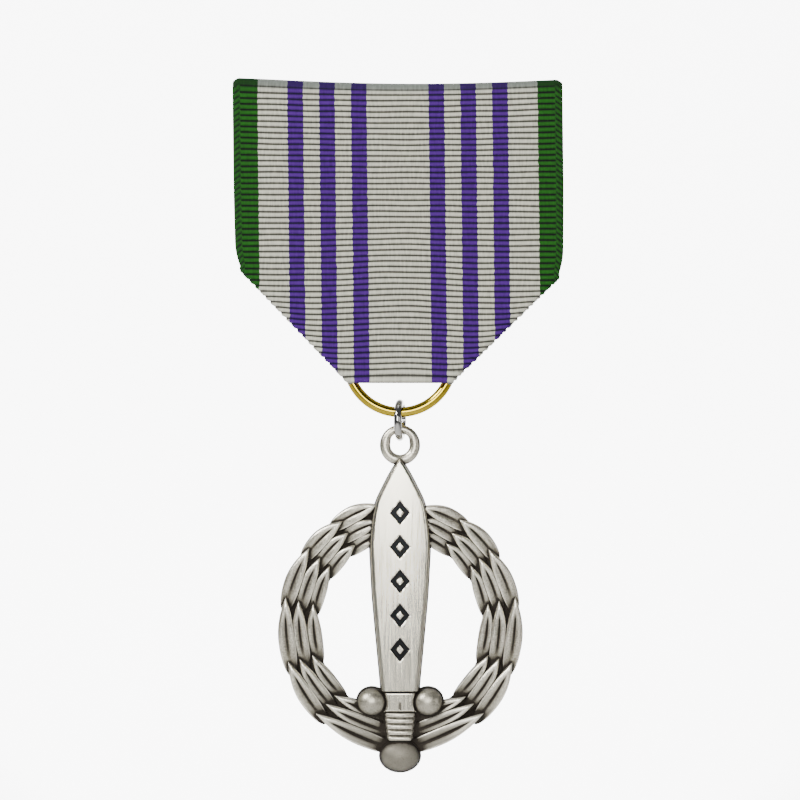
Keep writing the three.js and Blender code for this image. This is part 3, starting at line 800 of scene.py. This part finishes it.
def stray(tree, given):
    """A random value within the group's unevenness, another one for each point."""
    low = math_node(tree, "SUBTRACT", 0.0, given["Unevenness"])
    inputs = {2: low, 3: given["Unevenness"], 8: given["Seed"]}
    return add(tree, "FunctionNodeRandomValue", inputs, data_type="FLOAT").outputs[1]


def set_out(tree, material, inputs, size):
    """Sets a mesh on every point at a size, makes all of them solid and gives them a material."""
    scale = add(tree, "ShaderNodeCombineXYZ", dict(enumerate(size))).outputs[0]
    copies = add(tree, "GeometryNodeInstanceOnPoints", {**inputs, "Scale": scale})
    solid = add(tree, "GeometryNodeRealizeInstances", {0: copies.outputs[0]})
    smooth = add(tree, "GeometryNodeSetShadeSmooth", {0: solid.outputs[0]})
    done = add(tree, "GeometryNodeSetMaterial", {0: smooth.outputs[0], "Material": material})
    add(tree, "NodeGroupOutput", {0: done.outputs[0]})


def stitch_tree():
    """Geometry nodes that lay one stitch after another along the edges of a mesh."""
    tree, given = new_group("sewn_seam", [
        ("Pitch", "Float", 0.9 * MM),
        ("Stitch length", "Float", 0.7 * MM),
        ("Thread width", "Float", 0.16 * MM),
        ("Unevenness", "Float", 0.06),
        ("Seed", "Int", 4),
        ("Material", "Material", None),
    ])
    seam = add(tree, "GeometryNodeMeshToCurve", {0: given["Geometry"]})
    spots = add(tree, "GeometryNodeCurveToPoints",
                {"Curve": seam.outputs[0], "Length": given["Pitch"]}, mode="LENGTH").outputs
    bead = add(tree, "GeometryNodeMeshIcoSphere", {"Radius": 0.5, "Subdivisions": 3})
    turn = turn_about(tree, (0, 1, 0), stray(tree, given))
    facing = add(tree, "FunctionNodeRotateRotation", {0: spots["Rotation"], 1: turn})
    stitch = {"Points": spots["Points"], "Instance": bead.outputs["Mesh"], "Rotation": facing.outputs[0]}
    width = given["Thread width"]
    set_out(tree, given["Material"], stitch, (width, width, given["Stitch length"]))
    return tree


def grow(name, base, tree, values):
    """A plain mesh grown from a base object by a Geometry Nodes group with named values."""
    modifier = base.modifiers.new(tree.name, "NODES")
    modifier.node_group = tree
    sockets = {item.name: item.identifier for item in tree.interface.items_tree
               if item.item_type == "SOCKET" and item.in_out == "INPUT"}
    for label, value in values.items():
        modifier[sockets[label]] = value
    return settled(base, name)


def seams():
    """Sewn lines on the back: flaps, hem and tab."""
    back = FOLD_Y + CLOTH / 2 - 0.02
    tab_back = TAB_LOW[1] + 2 * CLOTH + 0.02
    hem_top = RIBBON_FOOT + HEM_HEIGHT - 0.45
    tab_top = TAB_HIGH[2] - 0.5
    tab_foot = RING_HIGH[2] + 1.2
    runs = [[(-5.0, back, hem_top), (5.0, back, hem_top)]]
    for side, drop in CREASE_DROPS.items():
        crease = RIBBON_TOP - drop
        x = side * (FLAP_INNER_X + 0.5)
        low = RIBBON_FOOT + 2.6
        runs.append([(x, back, crease - 0.6), (x, back, low)])
        runs.append([(side * 16.2, back, crease - 0.45), (x, back, crease - 0.45)])
    corners = [(-2.5, tab_foot), (2.5, tab_foot), (2.5, tab_top), (-2.5, tab_top), (-2.5, tab_foot),
               (2.5, tab_top)]
    runs.append([(x, tab_back, z) for x, z in corners])
    runs.append([(-2.5, tab_back, tab_top), (2.5, tab_back, tab_foot)])
    points, edges = [], []
    for run in runs:
        edges += [(len(points) + i, len(points) + i + 1) for i in range(len(run) - 1)]
        points += run
    mesh = bpy.data.meshes.new("seam_lines")
    mesh.from_pydata([tuple(MM * value for value in point) for point in points], edges, [])
    return grow("sewing_threads", placed("seam_lines", mesh), stitch_tree(), {"Material": THREAD})


# ---- Pendant ----

# The blade's right edge: [drop below the loop's centre, half width]
BLADE_EDGE = [(BLADE_TIP, 0.0), (2.75, 0.95), (6.06, 2.62), (8.3, 3.02), (10.7, 3.2),
              (16.0, 2.92), (22.05, 2.36), (BLADE_FOOT, 1.98)]


def width_at(edge, drop):
    """Half width at a drop, along straight runs between an outline's points."""
    return np.interp(drop, *np.array(edge).T)


def ringed(front, depth):
    """Each row of a front closed into a ring by two corners at a depth."""
    corners = front[:, (-1, 0)].copy()
    corners[..., 1] = depth
    return np.concatenate([front, corners], 1)


def blade_half_width(drop):
    """Half the blade's width at a drop, with the corners of its outline rounded off."""
    offsets = np.linspace(-1.5, 1.5, 31)
    weights = arch(offsets, 1.5) ** 2 + 1e-6
    reach = np.clip((drop - BLADE_TIP) / 1.2, 0, 1)
    spread = [w * width_at(BLADE_EDGE, drop + o * reach) for o, w in zip(offsets, weights)]
    return sum(spread) / weights.sum()


def relief(name, drops, half_width, face, back, material, across=48, bend=0.0):
    """A closed solid with a shaped front and a flat back, row by row down the pendant.

    half_width gives each row's half width, and face the depth at (drop, x, distance to the edge).
    bend pushes the ends of each row up, as a share of the row.
    """
    s = np.sin(np.linspace(-1, 1, across + 1) * math.pi / 2) * 0.35
    s += np.linspace(-1, 1, across + 1) * 0.65
    width = half_width(drops)[:, None]
    x = width * s
    drop = drops[:, None] - bend * s ** 2
    front = np.stack([x, face(drop, x, width - np.abs(x)), EYE_Z - drop], -1)
    rings = ringed(front, back)
    rows, around = rings.shape[:2]
    faces = grid_faces(rows, around, wrap=True).tolist()
    faces.append(list(range(around)))
    faces.append(list(range(rows * around - 1, (rows - 1) * around - 1, -1)))
    return piece(name, rings.reshape(-1, 3), faces, material, 45)


MARKS = sorted((box_mm(f"enamel_lozenge_{i}") for i in range(1, 6)), key=lambda b: -b[1][2])
MARK_DROPS = [EYE_Z - (low[2] + high[2]) / 2 for low, high in MARKS]
MARK_HALF_WIDTH = 1.0
MARK_HALF_HEIGHT = 1.2
MARK_ISLAND = 0.46
MARK_FLOOR = BED_FRONT - 0.58
BLADE_FACE = BED_FRONT - 0.93


def blade_face(drop, x, to_edge):
    """Depth of the blade's front: gently round, with a bevel at the edge and five sunk lozenges."""
    crown = BLADE_FACE + 0.15 * (np.abs(x) / 3.2) ** 2
    bevel = 1 - np.sqrt(np.clip(1 - (1 - np.clip(to_edge / 0.42, 0, 1)) ** 2, 0, 1))
    depth = crown + 0.46 * bevel
    for mark in MARK_DROPS:
        share = np.abs(x) / MARK_HALF_WIDTH + np.abs(drop - mark) / MARK_HALF_HEIGHT
        inside = np.minimum(1 - share, share - MARK_ISLAND) * 0.77
        sunk = smoothstep(inside, -0.05, 0.04)
        depth = depth + (MARK_FLOOR - depth) * sunk
    return depth


def sword_blade():
    drops = np.concatenate([BLADE_TIP + 0.02 + np.linspace(0, 1, 10)[:-1] ** 2 * 0.4,
                            np.linspace(BLADE_TIP + 0.42, BLADE_FOOT + 0.12, 300)])
    return relief("blade", drops, blade_half_width, blade_face, SWORD_BACK, SATIN, across=88)


GUARD_EDGE = [(GUARD_TOP, 1.76), (26.6, 1.66), (27.1, 1.52), (27.6, 1.52), (GUARD_FOOT, 1.74)]


def guard_face(drop, x, to_edge):
    """Depth of the guard's block: a soft pillow with a short nick in its lower half."""
    ends = np.minimum(drop - GUARD_TOP, GUARD_FOOT - drop)
    ease = (1 - np.clip(to_edge / 0.3, 0, 1)) ** 2 + (1 - np.clip(ends / 0.22, 0, 1)) ** 2
    nick = np.exp(-(x / 0.07) ** 2) * smoothstep(drop, 26.9, 27.5) * (1 - smoothstep(drop, 28.0, 28.3))
    return BED_FRONT - 0.92 + 0.1 * (x / 1.6) ** 2 + 0.3 * np.clip(ease, 0, 1) + 0.12 * nick


def guard_block():
    drops = np.linspace(GUARD_TOP + 0.01, GUARD_FOOT - 0.01, 44)
    return relief("guard_body", drops, lambda drop: width_at(GUARD_EDGE, drop), guard_face,
                  SWORD_BACK, SATIN, across=44)


RIDGES = 5


def grip_half_width(drop):
    share = (drop - GUARD_FOOT) / (GRIP_FOOT - GUARD_FOOT)
    ridge = np.abs(np.sin(share * RIDGES * math.pi)) ** 0.5
    return 1.74 - 0.36 * share - 0.1 * (1 - ridge)


def grip_face(drop, x, to_edge):
    """Depth of the grip: a flattened round, ridged across, each ridge worn flat on top."""
    share = (drop - GUARD_FOOT) / (GRIP_FOOT - GUARD_FOOT)
    ridge = np.abs(np.sin(np.clip(share, 0, 1) * RIDGES * math.pi)) ** 0.55
    body = np.sqrt(np.clip(1 - (x / 1.9) ** 2, 0, 1))
    side = 1 - (1 - np.clip(to_edge / 0.3, 0, 1)) ** 2
    return SWORD_BACK - (0.2 + 0.62 * body - 0.22 * (1 - ridge)) * (0.3 + 0.7 * side)


def grip():
    drops = np.linspace(GUARD_FOOT + 0.06, GRIP_FOOT, 90)
    return relief("ridged_grip", drops, grip_half_width, grip_face, SWORD_BACK, SILVER, 40, 0.14)


def dome(name, x, drop, half_width, half_height, depth, around=56, rings=18):
    """A smooth dome on the bed, with its widest ring a little in front of the bed."""
    points = []
    turns = np.linspace(0, 2 * math.pi, around, endpoint=False)
    profile = [(0.985, 0.0), (1.0, 0.12)]
    profile += [(math.cos(a), 0.12 + 0.88 * math.sin(a))
                for a in np.linspace(0, math.pi / 2, rings)[1:-1]]
    for reach, rise in profile:
        points += [(x + half_width * reach * math.cos(a), SWORD_BACK - depth * rise,
                    EYE_Z - drop + half_height * reach * math.sin(a)) for a in turns]
    points.append((x, SWORD_BACK - depth, EYE_Z - drop))
    rows = len(profile)
    faces = grid_faces(rows, around, wrap=True)[:, ::-1].tolist()
    last = (rows - 1) * around
    faces += [[last + i, last + (i + 1) % around, rows * around] for i in range(around)]
    faces.append(list(range(around - 1, -1, -1)))
    return piece(name, points, faces, SILVER, 60, {"rubbed": [-0.12] * len(points)})


def ellipse(x, drop, half_width, half_height, count=72):
    turns = np.linspace(0, 2 * math.pi, count, endpoint=False)
    return [(x + half_width * math.cos(a), EYE_Z - drop + half_height * math.sin(a)) for a in turns]


def sword_bed():
    """The raised bed behind the sword, which shows as a thin dark step all round it."""
    drops = np.linspace(2.0, BLADE_FOOT, 64)
    widths = blade_half_width(drops) + BED_MARGIN
    right = [(w, EYE_Z - d) for w, d in zip(widths, drops)]
    right += [(1.88, EYE_Z - GUARD_FOOT), (1.5, EYE_Z - GRIP_FOOT), (1.4, EYE_Z - GRIP_FOOT - 0.6)]
    stem = right + [(-x, z) for x, z in reversed(right)]
    shapes = [stem, ellipse(0, 33.09, 2.26, 1.83), ellipse(-BALL_X, BALL_DROP, 1.71, 1.6),
              ellipse(BALL_X, BALL_DROP, 1.71, 1.6)]
    beds = []
    for i, shape in enumerate(shapes):
        bed = outline_plate(f"bed_{i}", [shape], BED_FRONT, BED_BACK - 0.02 * i, 0.09, SILVER)
        # The mop never reaches the step, and the back is left as it is.
        store(bed.data, "rubbed", [-1.8 * (v.normal.y < 0.5) for v in bed.data.vertices])
        beds.append(bed)
    return beds


def wreath_band():
    """The ring that the leaves are modelled on, seen only in the gaps between them."""
    middle = EYE_Z - WREATH_Z
    outer, inner = 12.5, 8.85
    return outline_plate("band", [ellipse(0, middle, outer, outer * WREATH_STRETCH, 160),
                                  ellipse(0, middle, inner, inner * WREATH_STRETCH, 128)],
                         BED_FRONT + 0.36, BED_BACK - 0.1, 0.12, SILVER)


# Leaves stand three abreast: distance of tip and base from the wreath's centre, width, depth
LEAF_ROWS = [
    (12.47, 12.37, 1.92, -0.1),
    (11.0, 10.8, 1.8, 0.0),
    (9.7, 9.25, 1.62, 0.08),
]
# Angles above the level where one cluster's tips overlie the next one's bases
LEAF_JOINTS = [-82, -43.5, -15.8, 14.8, 40.2, 60.4, 80]
LEAF_OVERLAP = 7.5
# How far a leaf's sides go down into the band, as a share of its relief
LEAF_DEPTH = 0.52
LEAF_ROW_PLACES = [0.0, 0.012, 0.04, 0.09, 0.15, 0.22, 0.29, 0.36, 0.43, 0.5, 0.57, 0.64, 0.71, 0.77,
                   0.83, 0.88, 0.92, 0.955, 0.98, 0.995]
LEAF_HALF_ACROSS = [0.0, 0.03, 0.075, 0.14, 0.25, 0.4, 0.58, 0.74, 0.86, 0.94, 0.985, 1.0]


def leaf_source(side):
    """One laurel leaf, 1 long and 1 wide: base at the origin, tip up, bowed to one side."""
    half = np.array(LEAF_HALF_ACROSS)
    s = np.concatenate([-half[:0:-1], half])
    t = np.array(LEAF_ROW_PLACES)[:, None]
    widest = 0.46
    from_base = np.clip(t / widest, 0, 1)
    to_tip = np.clip((t - widest) / (1 - widest), 0, 1)
    width = np.where(t < widest, 0.5 * (np.sin(from_base * math.pi / 2) + 0.001) ** 0.3,
                     0.5 * (1 - to_tip ** 1.9))
    bow = side * 0.16 * 4 * t * (1 - t)
    crest = (0.3 + 0.7 * smoothstep(t, 0.0, 0.6)) * (1 - to_tip ** 7) ** 0.5
    pillow = (0.6 + 0.4 * (1 - np.abs(s) ** 2.4)) * (1 - np.abs(s) ** 18) ** 0.5
    hollow = 0.3 * np.exp(-((np.abs(s) - 0.16) / 0.3) ** 2)
    vein = 0.34 * np.exp(-(s / 0.11) ** 2)
    veined = smoothstep(t, 0.14, 0.36) * (1 - smoothstep(t, 0.66, 0.9))
    rise = crest * (pillow - veined * (hollow + vein))
    top = np.stack([width * s + bow, -rise, t + 0 * s], -1)
    rings = ringed(top, LEAF_DEPTH)
    rows, around = rings.shape[:2]
    points = np.concatenate([rings.reshape(-1, 3), [[0, 0.3, 0], [0, 0.3, 1]]])
    # The mop rubs the rims and the tip bright and leaves the vein dull. The base is made darker,
    # partly for oxide and partly as painted shade under the tips of the leaves below.
    rim = np.exp(-((np.abs(s) - 0.88) / 0.09) ** 2)
    rubbed = rim * smoothstep(t, 0.02, 0.2) + 0.5 * smoothstep(t, 0.5, 0.95)
    rubbed -= 0.45 * (1 - smoothstep(t, 0.08, 0.45))
    rubbed -= 0.5 * veined * np.exp(-(s / 0.2) ** 2)
    rubbed = np.append(np.concatenate([rubbed, np.zeros((rows, 2))], 1), [0, 0])
    faces = grid_faces(rows, around, wrap=True)[:, ::-1].tolist()
    base, tip = rows * around, rows * around + 1
    last = (rows - 1) * around
    faces += [[base, i, (i + 1) % around] for i in range(around)]
    faces += [[tip, last + (i + 1) % around, last + i] for i in range(around)]
    return piece("leaf", points / MM, faces, SILVER, 60, {"rubbed": rubbed})


def leaf_tree():
    """Geometry nodes that set a leaf on every point, turned, pitched and sized as it says."""
    tree, given = new_group("laurel_branch", [
        ("Leaf", "Object", None),
        ("Relief", "Float", 0.62 * MM),
        ("Lift", "Float", math.radians(3)),
        ("Unevenness", "Float", math.radians(1.5)),
        ("Seed", "Int", 7),
        ("Material", "Material", None),
    ])
    turn, length, width = [
        add(tree, "GeometryNodeInputNamedAttribute", {0: name}, data_type="FLOAT").outputs[0]
        for name in ("turn", "length", "width")
    ]
    turned = turn_about(tree, (0, 1, 0), math_node(tree, "ADD", turn, stray(tree, given)))
    pitched = turn_about(tree, (1, 0, 0), given["Lift"])
    facing = add(tree, "FunctionNodeRotateRotation", {0: turned, 1: pitched}, rotation_space="LOCAL")
    source = add(tree, "GeometryNodeObjectInfo", {0: given["Leaf"]}).outputs["Geometry"]
    leaf = {"Points": given["Geometry"], "Instance": source, "Rotation": facing.outputs[0]}
    set_out(tree, given["Material"], leaf, (width, given["Relief"], length))
    return tree


def polar(side, distance, degrees):
    angle = math.radians(degrees)
    across, up = distance * math.cos(angle), distance * math.sin(angle) * WREATH_STRETCH
    return np.array([side * across, WREATH_Z + up])


def branch(side, tree):
    """One side's leaves, from the foot of the wreath up to the blade."""
    points, turns, lengths, widths = [], [], [], []
    for start, end in zip(LEAF_JOINTS, LEAF_JOINTS[1:]):
        for tip_distance, base_distance, width, depth in LEAF_ROWS:
            base = polar(side, base_distance, start - LEAF_OVERLAP)
            tip = polar(side, tip_distance, end)
            run = tip - base
            points.append((base[0] * MM, (BED_FRONT + 0.34 + depth) * MM, base[1] * MM))
            turns.append(math.atan2(run[0], run[1]))
            lengths.append(float(np.linalg.norm(run)) * MM)
            widths.append(width * MM)
    mesh = bpy.data.meshes.new("leaf_places")
    mesh.from_pydata(points, [], [])
    for name, values in (("turn", turns), ("length", lengths), ("width", widths)):
        store(mesh, name, values)
    leaf = leaf_source(side)
    given = {"Leaf": leaf, "Material": SILVER, "Seed": 7 + side}
    grown = grow(f"branch_{side}", placed("leaf_places", mesh), tree, given)
    bpy.data.objects.remove(leaf, do_unlink=True)
    return grown


def settle_patina(objects, crevice=0.9, reach=4.0, rays=28):
    """Stores on every point a mark of oxide and painted shade, built on how much of the open sky nearby
    metal hides.

    The oxide of an antiqued finish stays in the places that a polishing mop can't reach, on the
    casting's upright sides and on its low ground. The wide hiding, the sides and the low ground are
    darkened partly for that oxide and partly as painted shade, and the foot of the wreath as
    painted shade alone.
    """
    corners, polygons = [], []
    for obj in objects:
        first = len(corners)
        corners += [v.co.copy() for v in obj.data.vertices]
        polygons += [[first + i for i in p.vertices] for p in obj.data.polygons]
    tree = BVHTree.FromPolygons(corners, polygons)
    golden = math.pi * (3 - math.sqrt(5))
    sky = []
    for i in range(rays):
        height = 1 - (i + 0.5) / rays * 0.86
        around = math.sqrt(1 - height * height)
        sky.append(Vector((around * math.cos(golden * i), around * math.sin(golden * i), height)))
    for obj in objects:
        values = []
        # The polish mark: lighter where polished, darker at leaf bases as painted shade with oxide.
        worn = obj.data.attributes.get("rubbed")
        for vertex in obj.data.vertices:
            turn = vertex.normal.to_track_quat("Z", "Y")
            start = vertex.co + vertex.normal * 0.015 * MM
            hidden = 0.0
            for ray in sky:
                distance = tree.ray_cast(start, turn @ ray, reach * MM)[3]
                if distance is not None:
                    # Wide hiding darkens partly for oxide and partly as painted shade under nearby
                    # metal; close hiding stands for oxide in crevices.
                    hidden += 0.35 * (1 - distance / (reach * MM))
                    hidden += 1.5 * max(0, 1 - distance / (crevice * MM))
            # Upright sides and low ground are darkened, partly for oxide and partly as painted shade.
            aside = smoothstep(1 - abs(vertex.normal.y), 0.15, 0.9)
            low = smoothstep(vertex.co.y / MM, -0.6, 0.1)
            tarnish_and_shade = hidden / rays + 0.38 * aside + 0.4 * low
            if worn:
                # Painted shade: the metal is darkened towards the foot of the wreath.
                tarnish_and_shade += 0.42 * smoothstep(-vertex.co.z / MM, 54, 65)
                tarnish_and_shade -= 0.26 * worn.data[vertex.index].value
            # The flat back is wiped evenly.
            back = smoothstep(vertex.normal.y, 0.5, 0.8)
            values.append(tarnish_and_shade + (0.2 - tarnish_and_shade) * back)
        store(obj.data, "patina", values)


# ---- Assembly ----

def build_drape():
    ribbon, area, length = ribbon_drape()
    tab = tape_tab()
    threads = seams()
    fasten(ribbon, "drape", "grosgrain_ribbon", "ribbon")
    fasten(tab, "drape", "cotton_tape", "ring_tab")
    fasten(threads, "drape", "cotton_tape")
    print(f"ribbon cut: {length:.1f} mm long, {area:.0f} mm2")


def build_links():
    ring = torus("suspension_wire_ring", RING_CENTRE, RING_MID, RING_WIRE, GILT, around=160)
    fasten(ring, "ring", "gilt_brass", "suspension_ring")
    link = torus("link_wire_ring", LINK_CENTRE, LINK_MID, LINK_WIRE, NICKEL,
                 yaw=math.pi / 2 - LINK_YAW, gap=0.04)
    fasten(link, "link", "nickel_wire", "jump_ring")


def build_pendant():
    eye_centre = np.array([0, (EYE_LOW[1] + EYE_HIGH[1]) / 2, EYE_Z])
    eye = torus("pendant_eye", eye_centre, EYE_MID, EYE_WIRE, SILVER, swell=0.24)
    blade = sword_blade()
    guard = guard_block()
    balls = [dome(f"ball_{name}", side * BALL_X, BALL_DROP, 1.55, 1.44, 1.3)
             for name, side in (("left", -1), ("right", 1))]
    handle = grip()
    knob = dome("pommel_dome", 0, 33.0, 2.16, 1.72, 1.5)
    tree = leaf_tree()
    wreath = joined("laurel_wreath", [*sword_bed(), wreath_band(), branch(-1, tree), branch(1, tree)])
    settle_patina([eye, blade, guard, *balls, handle, knob, wreath])
    cast = {"wreath": wreath, "pendant_loop": eye, "guard_ball_left": balls[0],
            "guard_ball_right": balls[1], "grip": handle, "pommel": knob}
    for node, obj in cast.items():
        fasten(obj, "pendant", "antiqued_silver_casting", node)
    for node, obj in {"sword_blade": blade, "guard_block": guard}.items():
        fasten(obj, "pendant", "satin_silver_plate", node)
    for i in range(1, 6):
        materials = frame["nodes"][f"enamel_lozenge_{i}"].data.materials
        materials.clear()
        materials.append(ENAMEL)


def build_brooch():
    stamped = {"brooch_frame": 0.12, "hinge_bracket": 0.05, "hinge_rivet": 0.04, "catch_body": 0.05}
    for node, width in stamped.items():
        eased(node, "brooch", "gilt_brass", STAMPED, width)
    eased("catch_lock", "lock", "gilt_brass", STAMPED, 0.04)
    eased("pin_stem", "pin", "nickel_wire", NICKEL, 0.03)


def build_stage():
    """A pale floor that curves up into a wall behind, a camera in front and soft lights."""
    floor, cove, half = -250, 150, 1500
    profile = [(-half, floor), (WALL - cove, floor)]
    profile += [(WALL - cove + cove * math.sin(a), floor + cove * (1 - math.cos(a)))
                for a in np.linspace(0, math.pi / 2, 17)[1:]]
    profile.append((WALL, 1200))
    points = [(x, y, z) for y, z in profile for x in (-half, half)]
    faces = [[2 * i, 2 * i + 1, 2 * i + 3, 2 * i + 2] for i in range(len(profile) - 1)]
    piece("studio_paper", points, faces, finish(studio_paper), 180)

    middle = Vector((0, 0, -0.0268))
    # Name, place in metres, size in metres, watts
    lights = [
        ("key", (-0.38, -0.34, 0.32), 0.18, 4.2),
        ("fill", (0.42, -0.32, 0.0), 0.2, 0.3),
        ("front", (-0.03, -0.62, 0.068), 0.26, 2.9),
        ("top", (0.02, -0.05, 0.50), 0.26, 0.3),
    ]
    for name, place, size, watts in lights:
        light = bpy.data.lights.new(name, "AREA")
        light.size = size
        light.energy = watts
        obj = placed(name, light)
        obj.location = place
        obj.rotation_euler = (middle - Vector(place)).to_track_quat("-Z", "Y").to_euler()

    world = bpy.data.worlds.new("studio")
    world.use_nodes = True
    sky = world.node_tree
    fill(sky, sky.nodes["Background"], {"Color": linear("#E9ECF0"), "Strength": 0.14})
    bpy.context.scene.world = world

    camera = placed("camera", bpy.data.cameras.new("camera"))
    camera.data.lens = 100
    # Behind a 100 mm lens, a 36 mm wide sensor sees 85 mm at this distance.
    camera.location = middle + Vector((0, -0.237, 0))
    camera.rotation_euler = (math.pi / 2, 0, 0)
    bpy.context.scene.camera = camera


build_drape()
build_links()
build_pendant()
build_brooch()
build_stage()
